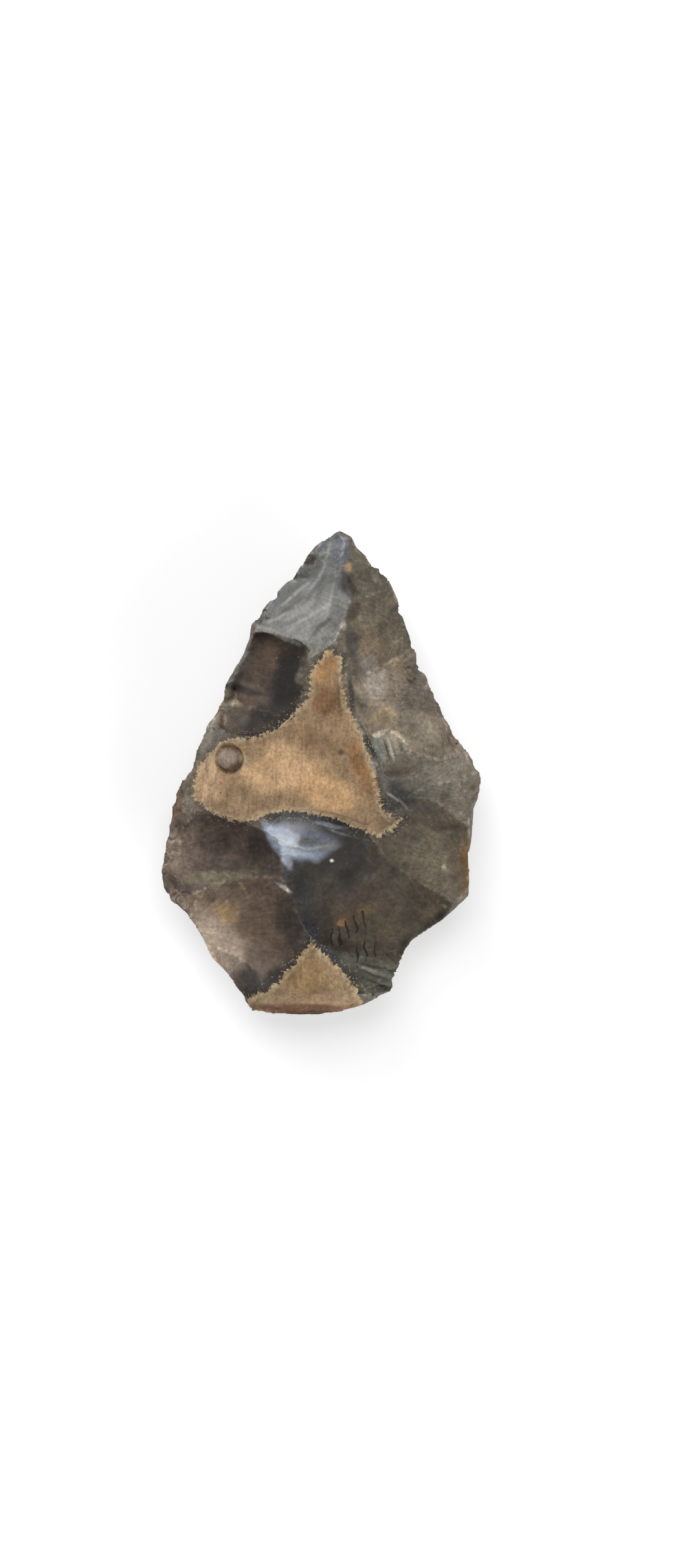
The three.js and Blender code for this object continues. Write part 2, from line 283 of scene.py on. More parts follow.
def nicks(side, flakes):
    """Small flakes at uneven places round the edge, each a little steeper than the face that it cuts."""
    small = []
    for index in range(NICKS[side]):
        heading = (index + chance.uniform(0.1, 0.9)) / NICKS[side] * 2 * math.pi - math.pi
        place, reach = edge_place(heading)
        length, width = chance.uniform(2.2, 6.5), chance.uniform(2.4, 7)
        inwards = CORE + (place - CORE) * (1 - 3.5 / reach)
        rise = face(inwards[:1], inwards[1:], flakes, side)["height"][0] - side * edge_height(heading)
        climb = math.degrees(math.atan2(rise, 3.5)) + chance.uniform(-4, 6)
        outside = CORE + (place - CORE) * (1 + chance.uniform(0.5, 1.3) / reach)
        turn = math.degrees(heading) + 180 + chance.uniform(-28, 28)
        size = (length, width, chance.uniform(0.3, 0.62))
        if all(math.dist(place, (x, y)) > radius for x, y, radius in WHOLE_EDGE):
            small.append(strike(outside, turn, climb, size, full=3, lift=-0.3, side=side))
    return small


LARGE = {1: list(FRONT.values()), -1: list(BACK.values())}
FACES = {side: flakes + nicks(side, flakes) for side, flakes in LARGE.items()}
print(len(FACES[1]), "flakes on the front and", len(FACES[-1]), "on the back, with the small ones")

# %% [markdown]
# ## The stone as a fine mesh
# The solid has large flat facets. A copy of it is remeshed into small even squares, and each corner then
# slides onto the surface that the plan gives. At the edge both faces pull in turn, so the corners settle on
# the line where the two meet. A second remesh evens the squares out again.

# %% Copy, remesh, settle
PRESS_REACH = 0.9
SINK_REACH = 0.6


def points_of(mesh):
    """The mesh's corners in the plan: x and y in millimetres, and the height above the edge."""
    flat = np.empty(len(mesh.vertices) * 3)
    mesh.vertices.foreach_get("co", flat)
    return flat.reshape(-1, 3) / MM + [MIDDLE[0], MIDDLE[1], -BACK_DEPTH]


def move_to(mesh, points):
    spots = (points - [MIDDLE[0], MIDDLE[1], -BACK_DEPTH]) * MM
    spots[:, 2] = np.maximum(spots[:, 2], 0)
    mesh.vertices.foreach_set("co", spots.ravel())
    mesh.update()


def knob_floor(points):
    """How far each point is from the knob's surface, and the way out of the knob."""
    spot = (points - KNOB_MIDDLE) / KNOB_HALF
    reach = np.linalg.norm(spot, axis=1)
    out = spot / KNOB_HALF
    return (reach - 1) * KNOB_HALF.mean(), out / np.maximum(np.linalg.norm(out, axis=1), 1e-6)[:, None]


def misses(points, side):
    """How far each point stands out of one face, and the way out of that face."""
    found = face(points[:, 0], points[:, 1], FACES[side] + ([PIT] if side > 0 else []), side)
    outwards = np.concatenate([-found["slope"], np.ones((len(points), 1))], axis=1)
    outwards /= np.linalg.norm(outwards, axis=1)[:, None]
    distance = (points[:, 2] * side - found["height"]) * outwards[:, 2]
    outwards[:, 2] *= side
    if side > 0:
        knob_distance, knob_out = knob_floor(points)
        nearer = knob_distance < distance
        distance = np.where(nearer, knob_distance, distance)
        outwards = np.where(nearer[:, None], knob_out, outwards)
    return distance, outwards


def settle(mesh, rounds):
    points = points_of(mesh)
    for _ in range(rounds):
        above, up = misses(points, 1)
        below, down = misses(points, -1)
        for distance, outwards, other in ((above, up, below), (below, down, above)):
            pulled = (distance > 0) & (distance < PRESS_REACH)
            raised = (distance <= 0) & (distance > -SINK_REACH) & (distance > other)
            points -= outwards * np.where(pulled | raised, distance, 0)[:, None]
    move_to(mesh, points)
    furthest = round(float(np.abs(above[pulled]).max()), 2)
    print("settled", len(points), "points; the last moves were up to", furthest, "mm")


def remesh(piece, size):
    bpy.context.view_layer.objects.active = piece
    voxels = piece.modifiers.new("voxels", "REMESH")
    voxels.mode = "VOXEL"
    voxels.voxel_size = size
    bpy.ops.object.modifier_apply(modifier="voxels")
    print("remeshed into", len(piece.data.polygons), "faces")


axe = bpy.data.objects.new("flint_hand_axe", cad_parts["hand_axe"].data.copy())
bpy.context.collection.objects.link(axe)
axe.select_set(True)
bpy.context.view_layer.objects.active = axe
bpy.ops.object.mode_set(mode="EDIT")
bpy.ops.mesh.select_all(action="SELECT")
bpy.ops.mesh.remove_doubles(threshold=0.01 * MM)
bpy.ops.object.mode_set(mode="OBJECT")
remesh(axe, 0.5 * MM)
settle(axe.data, 4)
remesh(axe, 0.4 * MM)
settle(axe.data, 3)
bpy.ops.object.shade_smooth()

# %% [markdown]
# ## Ripples, worn ridges and the grain of the skin
# A blow sends waves through the flint, and they stay in the hollow as ripples round the strike point. Sharp
# ridges bruise and chip, and the skin of the nodule is rough like old plaster. All of this is only a tenth
# of a millimetre or so deep, so it is added last, by moving each corner in or out along its own normal.

# %% Smooth noise
LATTICE = np.random.default_rng(3).uniform(-1, 1, (32, 32, 32))


def noise(points, size, turn=0.0):
    """Random values from -1 to 1 that change smoothly over one size, in millimetres."""
    spot = points / size + turn
    base = np.floor(spot).astype(int)
    part = spot - base
    part = part * part * (3 - 2 * part)
    total = np.zeros(len(points))
    for corner in np.ndindex(2, 2, 2):
        weight = np.where(corner, part, 1 - part).prod(axis=1)
        total += weight * LATTICE[tuple(((base + corner) % 32).T)]
    return total


def layered(points, size, count, turn=0.0):
    """Noise with finer noise on it: each layer has half the size and half the height of the one before."""
    return sum(noise(points, size / 2 ** layer, turn + 5.7 * layer) / 2 ** layer for layer in range(count))


def ramp(value, low, high):
    """0 below low, 1 above high, and a smooth climb between them."""
    share = np.clip((value - low) / (high - low), 0, 1)
    return share * share * (3 - 2 * share)


# %% [markdown]
# ## What lies where
# Everything that follows is decided corner by corner: which flake the corner is on, how far it is from the
# strike point and from the next ridge, and how far inside the skin. The skin's border wanders away from the
# ridges, because it peeled a little with each blow, so it has a line of its own.

# %% What lies where
# the border of the skin that is left on the body, from the top of its neck and to the right
BODY_BORDER = [(1.4, 30.4), (4.8, 28.4), (5.1, 21.8), (6, 16.8), (8.2, 13), (10.4, 8), (11.6, 4.4),
               (12.7, 0.6), (13.9, -4), (14.7, -8.6), (17, -10.6), (20.3, -10.8), (17.6, -13.6), (13.4, -15.6),
               (7.5, -12.6), (0.3, -10.2), (-9.3, -9.1), (-14.9, -10.4), (-20.2, -12), (-26.9, -9.8), (-31.7, -6.2),
               (-32.2, -3), (-30, 2.6), (-25.3, 8), (-16.5, 9), (-10.9, 11.4), (-6.9, 14.6), (-3.4, 18.6),
               (-3, 24)]
# and of the skin at the butt, from its upper corner and to the right; it runs out over the edge
BUTT_BORDER = [(-2.6, -41), (1.9, -45.4), (5.9, -49.4), (9.1, -54.4), (12, -62), (-21, -62), (-18.4, -55.4),
               (-11.7, -51.6), (-6.9, -46.2)]


def inside_border(points, corners):
    """How far each point is inside a border in millimetres, and how far along the border it lies."""
    nearest, along, turns, passed = np.full(len(points), 1e3), np.zeros(len(points)), np.zeros(len(points)), 0
    corners = np.array(corners, dtype=float)
    for start, end in zip(corners, np.roll(corners, -1, axis=0)):
        side = end - start
        length = np.hypot(*side)
        share = np.clip((points[:, :2] - start) @ side / length ** 2, 0, 1)
        gap = np.hypot(*(points[:, :2] - start - share[:, None] * side).T)
        along = np.where(gap < nearest, passed + share * length, along)
        nearest = np.minimum(gap, nearest)
        crosses = (start[1] <= points[:, 1]) != (end[1] <= points[:, 1])
        level = start[0] + (points[:, 1] - start[1]) * side[0] / (side[1] or 1)
        turns += crosses & (points[:, 0] < level)
        passed += length
    return np.where(turns % 2 == 1, nearest, -nearest), along


def patch_cover(points, x, y, half_length, half_width, turn):
    """How much of a soft oval patch lies on each corner, from 0 to 1."""
    angle = math.radians(turn)
    along = (points[:, 0] - x) * math.cos(angle) + (points[:, 1] - y) * math.sin(angle)
    across = (points[:, 1] - y) * math.cos(angle) - (points[:, 0] - x) * math.sin(angle)
    return ramp(np.hypot(along / half_length, across / half_width), 1.25, 0.45)


def survey(mesh):
    """For every corner: its place, its face, its flake, how far the next ridge and the skin are."""
    points = points_of(mesh)
    normals = np.empty(len(points) * 3)
    mesh.vertex_normals.foreach_get("vector", normals)
    normals = normals.reshape(-1, 3)
    sides = {side: face(points[:, 0], points[:, 1], FACES[side], side) for side in (1, -1)}
    front = np.abs(points[:, 2] - sides[1]["height"]) < np.abs(points[:, 2] + sides[-1]["height"])
    found = {"ridge": np.where(front, sides[1]["ridge"], sides[-1]["ridge"])}
    body, butt = inside_border(points, BODY_BORDER), inside_border(points, BUTT_BORDER)
    found["skin"] = np.where(front, np.maximum(body[0], butt[0]), -4)
    found["border"] = np.where(body[0] > butt[0], body[1], butt[1])
    owners = [face(points[:, 0], points[:, 1], LARGE[side], side)["owner"] for side in (1, -1)]
    found["owner"] = np.where(front, *owners)
    found["flake"] = np.where(front, owners[0], owners[1] + len(FRONT))

    strikes = np.array([flake["start"] for flake in LARGE[1] + LARGE[-1]])
    away = points[:, :2] - strikes[found["flake"], :2]
    lengths = np.array([flake["length"] for flake in LARGE[1] + LARGE[-1]])
    found["reach"] = np.hypot(*away.T)
    found["along"] = found["reach"] / lengths[found["flake"]]
    found["angle"] = np.arctan2(away[:, 1], away[:, 0])
    thickness = sides[1]["height"] + sides[-1]["height"]
    return {"points": points, "normals": normals, "front": front, "thickness": thickness, **found}


# %% Ripples, wear and grain
RIPPLE = {"tip left": 0.12, "long bowl": 0.05, "butt bowl": 0.04, "left bowl": 0.04, "right bowl": 0.03}
RIPPLE_REST = 0.03


def relief(found):
    """How far each corner moves out, in millimetres."""
    points, reach = found["points"], found["reach"]
    names = list(FRONT)
    height = np.full(len(points), RIPPLE_REST)
    for name, ripple in RIPPLE.items():
        height[found["front"] & (found["owner"] == names.index(name))] = ripple
    wander = layered(points, 9, 2, 1.3)
    wave = np.sin(reach / (0.42 + 0.011 * reach) + 2.6 * wander)
    strength = ramp(found["along"], 0.05, 0.5) + ramp(found["along"], 0.8, 1)
    ripples = height * strength * (wave + 0.35 * wave ** 3)
    polar = np.stack([found["angle"] * 26, reach * 0.18, found["flake"] * 3.1], axis=1)
    hackles = 0.05 * layered(polar, 1.5, 2) * ramp(found["ridge"], 5, 0)
    swell = 0.16 * noise(points, 7, 2.9) + 0.07 * noise(points, 3, 4.1)
    chips = ramp(noise(points, 1.9, 8.2), 0.1, 0.7) * ramp(found["ridge"], 1.1, 0)
    wear = -0.09 * ramp(found["ridge"], 0.7, 0) - 0.26 * chips
    stone = ripples + hackles + swell + wear
    pores = ramp(noise(points, 1.3, 6.4), 0.35, 0.8)
    crust = 0.13 * layered(points, 3.4, 3, 0.7) + 0.07 * noise(points, 0.8, 3.3) - 0.16 * pores
    rim = 0.16 * ramp(found["skin"], 1.4, 0.1)
    on_skin = ramp(found["skin"] + 0.5 * noise(points, 1.1, 9.1), -0.2, 0.2)
    flat = ~found["front"] & (points[:, 2] < 0.1 - BACK_DEPTH)
    moved = stone * (1 - on_skin) + (crust - rim) * on_skin
    return np.where(flat, 0, moved * ramp(found["thickness"], 0, 2.5))


found = survey(axe.data)
move_to(axe.data, found["points"] + found["normals"] * relief(found)[:, None])
print("relief from", relief(found).min().round(2), "to", relief(found).max().round(2), "mm")

# %% [markdown]
# Only the front is seen close up, so the corners of the back are thinned out. That keeps the whole mesh
# light without making the front any coarser.

# %% Thin out the back
BACK_KEPT = 0.62
group = axe.vertex_groups.new(name="back")
group.add(np.flatnonzero(found["points"][:, 2] < -1).tolist(), 1, "REPLACE")
thin = axe.modifiers.new("thin", "DECIMATE")
thin.ratio = BACK_KEPT
thin.vertex_group = "back"
bpy.ops.object.modifier_apply(modifier="thin")
axe.vertex_groups.clear()
bpy.ops.object.shade_smooth()
axe.data.calc_loop_triangles()
print(len(axe.data.loop_triangles), "triangles")

# %% [markdown]
# ## Colours of the stone
# Flint is grey to brown inside, and each scar has weathered in its own way. Some patches and runs also
# paint in light and shade: highlights where the glossy flint would mirror a lamp, and shade on dark sides
# of bowls and under the skin's edge. The colours are painted on the corners in two coats, one for the flint
# and one for the tan skin, and the material decides where each shows. The flint coat starts with a run of
# colours for each flake, from its strike point to its end, and soft patches with a wandering outline go over
# it. Colours are given as they would be on a screen. A third table says which parts still have the polish
# of fresh flint.

# %% Paint
SCREEN = 255


def linear(colour):
    """Screen levels made into amounts of light."""
    level = np.array(colour) / SCREEN
    return np.where(level <= 0.04045, level / 12.92, ((level + 0.055) / 1.055) ** 2.4)


FLAKE_TONES = {
    "tip left": [(120, 120, 114), (114, 114, 110), (132, 131, 125)],
    "tip end": [(110, 112, 113), (119, 120, 123)],
    "notch": [(88, 77, 65), (87, 71, 59), (50, 43, 37)],
    "notch foot": [(119, 105, 90), (63, 54, 45), (50, 41, 34)],
    "left sliver": [(130, 120, 106)],
    "left corner": [(106, 87, 73)],
    "left bowl": [(128, 112, 99), (97, 82, 73), (79, 69, 60), (102, 89, 79)],
    "left nick": [(129, 111, 97)],
    # the butt bowl's run, pale at the strike and dark at the far end, is partly its own tone and partly painted
    # light and shade
    "butt bowl": [(151, 132, 113), (126, 108, 92), (99, 83, 71), (63, 53, 46)],
    "butt nick": [(100, 87, 78), (67, 59, 54)],
    "long bowl": [(89, 78, 64), (80, 71, 57), (70, 60, 50), (49, 46, 41), (92, 95, 97)],
    "butt right": [(79, 78, 67), (66, 64, 56), (52, 49, 47)],
    "tip right": [(99, 92, 79)],
    "upper right": [(97, 89, 77), (109, 98, 81), (93, 85, 73)],
    "mid right": [(108, 97, 85), (132, 119, 102), (124, 113, 96)],
    "nose": [(128, 117, 105), (111, 106, 93), (93, 89, 80)],
    "below nose": [(123, 113, 98), (99, 93, 81), (62, 59, 54)],
    "right bowl": [(107, 90, 70), (103, 94, 77), (90, 79, 64), (80, 70, 55)],
    "step": [(155, 145, 125), (122, 117, 104)],
    "lower step": [(126, 115, 99), (98, 92, 81)],
}
BACK_TONES = [(112, 102, 90), (80, 72, 65), (122, 117, 108), (94, 84, 74), (68, 62, 57)]


# middle x, middle y, half length, half width, turn, colour, strength
FLINT_PATCHES = {
    "blue facet of the tip": (3.8, 54.5, 4.6, 2.6, 80, (115, 117, 123), 0.9),
    "pale line by the tip": (0.8, 53.6, 3.4, 0.6, 75, (158, 156, 150), 0.7),
    "dark cheek, upper": (-4.5, 48.5, 3.6, 1.5, 50, (86, 86, 82), 0.8),
    "dark cheek, lower": (-9.5, 43.5, 4.4, 2, 40, (92, 92, 88), 0.7),
    "dark foot of the cheek": (-15.5, 37.4, 2.6, 1.2, 30, (81, 79, 74), 0.7),
    # the silver of the cheek is partly the flint's grey and partly a painted reflection of a lamp in the glossy
    # scar
    "cheek's silver, partly painted reflection": (-3, 39, 8, 4.6, 25, (146, 145, 140), 0.8),
    "silver near the ridge, partly painted reflection": (1.5, 34, 4.5, 2, 70, (130, 128, 122), 0.6),
    "pale sill over the notch": (-11, 34.3, 6.5, 0.8, -22, (160, 156, 145), 0.8),
    "pocket by the ridge": (6.6, 46.5, 4.6, 1.5, 95, (54, 47, 40), 0.9),
    "lower pocket": (7.6, 39.6, 2.6, 1.4, 60, (58, 50, 41), 0.8),
    "orange spot": (6.6, 51.2, 1.6, 0.9, 100, (177, 146, 109), 0.9),
    "pale spot": (5.2, 36, 1.3, 1, 90, (156, 147, 131), 0.9),
    "dark edge of the tip": (14.5, 49, 4, 1, 130, (72, 66, 56), 0.6),
    "dark under the spot": (7.4, 31.5, 4.6, 1.9, 105, (60, 57, 53), 0.8),
    "warm slope": (13, 31, 6, 3, 100, (119, 102, 81), 0.7),
    "lilac patch": (13.6, 22.6, 4.6, 3.4, 100, (164, 153, 139), 0.95),
    "lilac patch, top": (11.6, 27, 2.6, 1.8, 60, (123, 117, 109), 0.7),
    "yellow patch": (14.6, 13.8, 3.8, 2.4, 10, (162, 143, 113), 0.85),
    "grey edge": (23.5, 23, 8, 2, 115, (104, 97, 86), 0.6),
    "long pale slope": (24, 11, 8, 4, 140, (140, 130, 112), 0.7),
    "brown stain": (19.6, 26, 3.2, 1.4, 110, (116, 97, 74), 0.6),
    "dark line by the skin": (7.2, 19.5, 6, 0.8, 100, (60, 56, 51), 0.9),
    "dark crack": (11.9, 6.2, 4.2, 0.6, 112, (36, 35, 33), 0.95),
    "green block": (13.9, 6, 3.6, 1.3, 108, (118, 124, 113), 0.9),
    "pale top of the block": (13.8, 9.6, 1.7, 0.7, 10, (205, 192, 168), 0.9),
    "pale square": (18, 9.3, 1.7, 1.3, 110, (185, 170, 148), 0.8),
    "dark side of the square": (19.6, 6.6, 2.4, 0.7, 115, (86, 81, 73), 0.7),
    "whitish spots": (12.2, 2, 1.4, 0.9, 60, (166, 164, 151), 0.8),
    "pale line by the skin": (7.8, 13, 4.6, 0.4, 124, (194, 186, 164), 0.8),
    "pale line by the skin, lower": (12.2, 2, 3, 0.45, 112, (194, 192, 178), 0.8),
    "grey foot of the steps": (19, 0.5, 5, 2.2, 160, (114, 105, 90), 0.6),
    "dark hollow": (18.4, -6.6, 5.4, 4, 150, (48, 48, 45), 0.95),
    "dark hollow, right": (25.5, -8.5, 5, 2, 165, (68, 62, 53), 0.7),
    "warm nose": (37, -0.6, 4.4, 3, 80, (135, 125, 110), 0.85),
    "grey under the nose": (31, -5, 5, 2.6, 160, (110, 104, 90), 0.6),
    "shelf of the bowl": (28, -12.5, 9, 1.6, -3, (72, 62, 51), 0.7),
    "pale bowl": (27, -22, 8, 6, 120, (118, 108, 90), 0.7),
    "orange rim": (35.4, -23, 7.5, 1.1, 90, (120, 90, 57), 0.85),
    "pale speck": (30, -23, 0.7, 0.6, 0, (204, 191, 166), 0.9),
    "pale nick": (31, -33.5, 2, 0.6, -30, (144, 135, 114), 0.7),
    "dark lower edge": (28, -37.6, 7.5, 1.8, 40, (38, 34, 26), 0.95),
    "brown of the great bowl": (16, -24, 7, 5, 140, (80, 71, 57), 0.5),
    "dark heart": (4.5, -21.5, 7, 5.4, 160, (40, 35, 30), 0.95),
    "dark heart, right": (10.5, -23.5, 3.2, 1.6, -30, (44, 39, 32), 0.7),
    "smoky band": (-4.4, -31, 8.5, 2.2, -72, (54, 51, 49), 0.9),
    "blue band": (-1.6, -40, 6, 1.8, -62, (60, 61, 69), 0.8),
    "ochre patch": (8, -34.4, 5.4, 3, 25, (97, 77, 52), 0.8),
    "ochre spot": (4.6, -36.6, 1.4, 1, 20, (136, 102, 64), 0.8),
    "olive slope": (16, -37, 6, 3, 35, (84, 75, 55), 0.6),
    "dark corner": (21, -42.5, 4.5, 2, 60, (49, 43, 32), 0.8),
    "green foot": (7, -45, 6.5, 2.6, 28, (75, 72, 59), 0.8),
    "dark blue foot": (2.2, -44.4, 2.6, 1.4, -50, (42, 45, 52), 0.8),
    "pale bands": (14, -49.5, 4.6, 3.4, 30, (100, 99, 83), 0.7),
    "pale band, lower": (9, -52.4, 3, 1, -25, (117, 115, 98), 0.6),
    # the wall's pale bluish patches are partly its patina and partly a painted highlight, standing in for the
    # reflection of a lamp in the glossy wall
    "main wall, patina and painted highlight": (-8.6, -16.4, 6.5, 3.2, -55, (172, 182, 199), 0.95),
    "wall's foot, patina and painted highlight": (-3.4, -18.8, 5.6, 2.4, 8, (149, 161, 179), 0.9),
    "wall's lower corner, patina and painted highlight": (-8.4, -21.4, 2.8, 1.2, -62, (156, 164, 176), 0.85),
    "wall's right part, patina and painted highlight": (0.6, -16.8, 4, 1.6, -8, (123, 128, 133), 0.8),
    "past the wall's ridge, patina and painted highlight": (-11.8, -15.6, 5.6, 1.9, -63, (172, 182, 199), 0.95),
    # painted shade on the wall where the skin's edge hangs over it
    "painted shade under the skin's edge": (-3, -10.8, 10, 1.3, 0, (80, 81, 81), 0.9),
    "dark band on the wall": (-3, -14.3, 7, 1.2, -14, (84, 91, 110), 0.8),
    "wall's top, patina and painted highlight": (2, -12.7, 4.4, 0.6, -14, (153, 161, 175), 0.6),
    "dusky end of the wall": (8.4, -15.4, 4.4, 1.5, -28, (74, 71, 69), 0.8),
    "mottled left end": (-37, -18, 7, 2, 92, (142, 127, 110), 0.7),
    "brown of the left bowl": (-25, -15, 8, 3.4, -10, (91, 77, 67), 0.7),
    # the dark right part of the left bowl is partly its own tone and partly painted shade
    "left bowl's right part, partly painted shade": (-15.4, -18.4, 4.4, 3, -60, (68, 57, 50), 0.9),
    "green band of the ridge": (-26, -25.6, 11, 1.7, 4, (135, 126, 103), 0.85),
    "dark under the bright line": (-12.6, -23.6, 3.4, 1.5, -50, (71, 63, 60), 0.8),
    "bright line": (-9.4, -27.8, 2.6, 0.5, -28, (187, 185, 172), 0.7),
    # the butt bowl's pale flank is partly its own tone and partly painted sheen on the side that faces the lamps
    "pink flank, partly painted sheen": (-26.4, -41.5, 9, 5.4, -54, (191, 171, 152), 0.85),
    "tan spot": (-23.7, -34.2, 3.1, 2.7, 60, (181, 151, 117), 0.95),
    "brown of the butt bowl": (-15, -36, 6, 6, 0, (109, 91, 76), 0.6),
    # the dark right part of the butt bowl is partly its own tone and partly painted shade
    "butt bowl's right part, partly painted shade": (-7.4, -37.5, 8.5, 3.2, -68, (59, 50, 44), 0.85),
    "pale mark": (-19.2, -28.4, 2.6, 0.5, -60, (151, 126, 99), 0.7),
    # the dark lower edge of the butt bowl is partly its own tone and partly painted shade
    "butt bowl's lower edge, partly painted shade": (-12, -50.6, 6.6, 2.2, 38, (48, 41, 37), 0.9),
    "brown heel": (-22.4, -51.5, 4, 1.6, -52, (72, 58, 48), 0.7),
    # the notch's steep wall is dark partly in its own tone and partly as painted shade
    "notch's steep wall, partly painted shade": (-8.4, 22.6, 11, 4.2, 78, (36, 30, 28), 0.95),
    "dark sill of the notch": (-13, 32.4, 7, 1.4, -18, (67, 57, 48), 0.8),
    "brown of the notch": (-14.6, 26, 5.6, 3.6, 60, (94, 77, 62), 0.8),
    "grey side of the notch": (-21, 26, 8, 1.7, 70, (102, 99, 92), 0.8),
    "step line": (-19.6, 20.6, 7, 0.9, -13, (40, 34, 30), 0.8),
    "pale side of the step line": (-20.6, 22.6, 6, 0.8, -14, (117, 106, 96), 0.6),
    "dark foot of the notch": (-12.4, 15.2, 7.4, 2.8, 25, (44, 37, 33), 0.9),
    "whitish streak": (-23.4, 17.6, 3.6, 1, -10, (162, 147, 128), 0.8),
    "grey by the left edge": (-28.4, 11, 5.4, 1.8, 65, (130, 121, 108), 0.8),
    "green strip": (-32, 3.4, 5, 1.5, 70, (95, 92, 79), 0.8),
    "grey neck side": (-3.4, 26, 1.8, 7, 0, (108, 101, 87), 0.8),
    # the pale streaks on the cheek are painted highlights along its ripples
    "painted highlight, first cheek streak": (-7, 44.4, 5, 0.5, 40, (172, 170, 164), 0.75),
    "painted highlight, second cheek streak": (-3.4, 38.6, 6, 0.6, 33, (177, 175, 168), 0.75),
    "painted highlight, third cheek streak": (-11.6, 38.4, 3.6, 0.6, 22, (166, 164, 156), 0.7),
    "painted highlight, streak near the ridge": (1.8, 41.6, 5, 0.5, 74, (168, 166, 160), 0.7),
    "painted highlight, top cheek streak": (-1.4, 48, 4, 0.5, 58, (156, 156, 154), 0.7),
    "dark streak": (-8, 41.4, 5, 0.7, 36, (78, 78, 76), 0.75),
    "dark streak, upper": (-2.4, 45, 4, 0.7, 54, (81, 81, 79), 0.7),
    "dark streak, lower": (0, 36.4, 4, 0.8, 48, (79, 78, 74), 0.7),
    # the pale ripple lines are painted highlights, where the ripples would catch a lamp
    "painted glint on the wall's first ripple": (-8.2, -16.8, 4.6, 0.4, -20, (188, 193, 190), 0.7),
    "painted glint on ripple two": (-5.8, -19.6, 3.8, 0.4, 2, (181, 188, 187), 0.7),
    "dark between ripples": (-6, -18.3, 4.6, 0.35, -8, (89, 91, 96), 0.6),
    "painted glint on ripple three": (-1.8, -18, 4.2, 0.4, 10, (172, 177, 177), 0.6),
    "dark after the ripples": (-2.6, -16.6, 4.4, 0.4, -2, (78, 81, 85), 0.6),
    "painted glint on the end ripple": (4.4, -14.6, 3.6, 0.35, -20, (144, 148, 149), 0.5),
    "ring of the white dot": (2.4, -21.3, 1.3, 1.2, 0, (25, 20, 18), 0.95),
    "white dot": (2.4, -21.3, 0.5, 0.45, 0, (228, 219, 201), 1),
    "curved line": (12, -47.4, 4, 0.4, -16, (41, 42, 37), 0.85),
    "second curved line": (13, -49.6, 4.2, 0.4, -22, (39, 40, 35), 0.85),
    "third curved line": (14, -51.8, 3.4, 0.4, -28, (42, 42, 35), 0.8),
    "pale line between": (12.4, -48.6, 4, 0.5, -20, (129, 128, 112), 0.7),
    "line on the block": (15.9, 5.8, 3.4, 0.35, 108, (54, 49, 44), 0.85),
    "pale line on the block": (16.8, 6.4, 3.4, 0.4, 108, (205, 194, 172), 0.5),
    "second line on the block": (17.6, 6.2, 3, 0.4, 114, (58, 54, 49), 0.3),
    "scratch in the hollow": (17, -5.4, 2.6, 0.35, -34, (148, 145, 133), 0.6),
    "second scratch": (20, -7.6, 2.2, 0.35, -50, (152, 142, 121), 0.5),
    "third scratch": (15.8, -9, 1.8, 0.35, -20, (149, 137, 118), 0.3),
}
SKIN_PATCHES = {
    # the skin is paler in the middle and on the left, and browner on the right side and down the neck, partly in
    # its own tone and partly as painted light and shade across its dome
    "skin's middle, partly painted light": (-10, 1, 12, 5.4, 5, (215, 176, 134), 0.85),
    # the pale left of the skin is partly its own tone and partly painted light
    "pale left": (-27, -2, 5, 5, 0, (215, 180, 140), 0.8),
    "pale foot": (2, -4.5, 8, 4, -20, (215, 172, 124), 0.8),
    "warm upper middle": (-2, 9, 7, 3.6, -20, (150, 121, 90), 0.7),
    "skin's right side, partly painted shade": (9.4, 1.5, 7.5, 2.6, 112, (152, 112, 72), 0.85),
    "neck": (1.2, 25.4, 3.2, 5, 0, (174, 134, 90), 0.9),
    "neck's foot, partly painted shade": (0.8, 17.6, 4.4, 3.4, 0, (124, 90, 58), 0.85),
    "neck's right edge, partly painted shade": (4.4, 19, 6, 0.9, 96, (105, 78, 54), 0.7),
    "tail": (16.5, -12.4, 3.6, 2.4, -20, (129, 109, 84), 0.85),
    "halo of the knob": (-19, 3.2, 1.6, 2.4, 0, (180, 159, 124), 0.8),
    "dark spot": (4.6, 5.3, 1, 0.8, 0, (83, 62, 42), 0.8),
    "second dark spot": (8.6, 4.2, 0.6, 0.5, 0, (97, 71, 49), 0.7),
    "red spot": (13.6, -1.4, 1.1, 0.8, 30, (120, 67, 42), 0.9),
    "ochre of the butt": (-4, -49, 6, 6, 0, (150, 122, 83), 0.85),
    "pale right of the butt": (5, -52.4, 5, 1.6, -40, (168, 145, 107), 0.8),
    "pale left of the butt": (-12.6, -54, 5.4, 1, 42, (171, 148, 113), 0.7),
    "red heel": (-5, -57.8, 14, 1.4, -2, (99, 63, 42), 0.85),
    "dark heel": (-4, -59.2, 12, 0.8, 0, (62, 42, 30), 0.8),
}
# the knob and the shadow at its lower side, with their distances from the knob's middle in millimetres
SHADOW_TONE = (52, 42, 34)
SHADOW_STRENGTH = 0.85
KNOB_REACH, SHADOW_REACH = 2.8, 3
SKIN_TONE = (157, 130, 100)
KNOB_TONE = (158, 142, 128)
# middle x, middle y, half length, half width, turn, and how much it shines
SHINE = {
    "shining wall": (-5.5, -15.5, 10, 5.4, -28, 1),
    "cheek of the tip": (-5, 41, 13, 9, 32, 0.75),
    "butt bowl": (-19, -39, 16, 12, -30, 0.6),
    "notch": (-13, 26, 8, 6, 70, 0.4),
}
SHINE_REST = 0.2


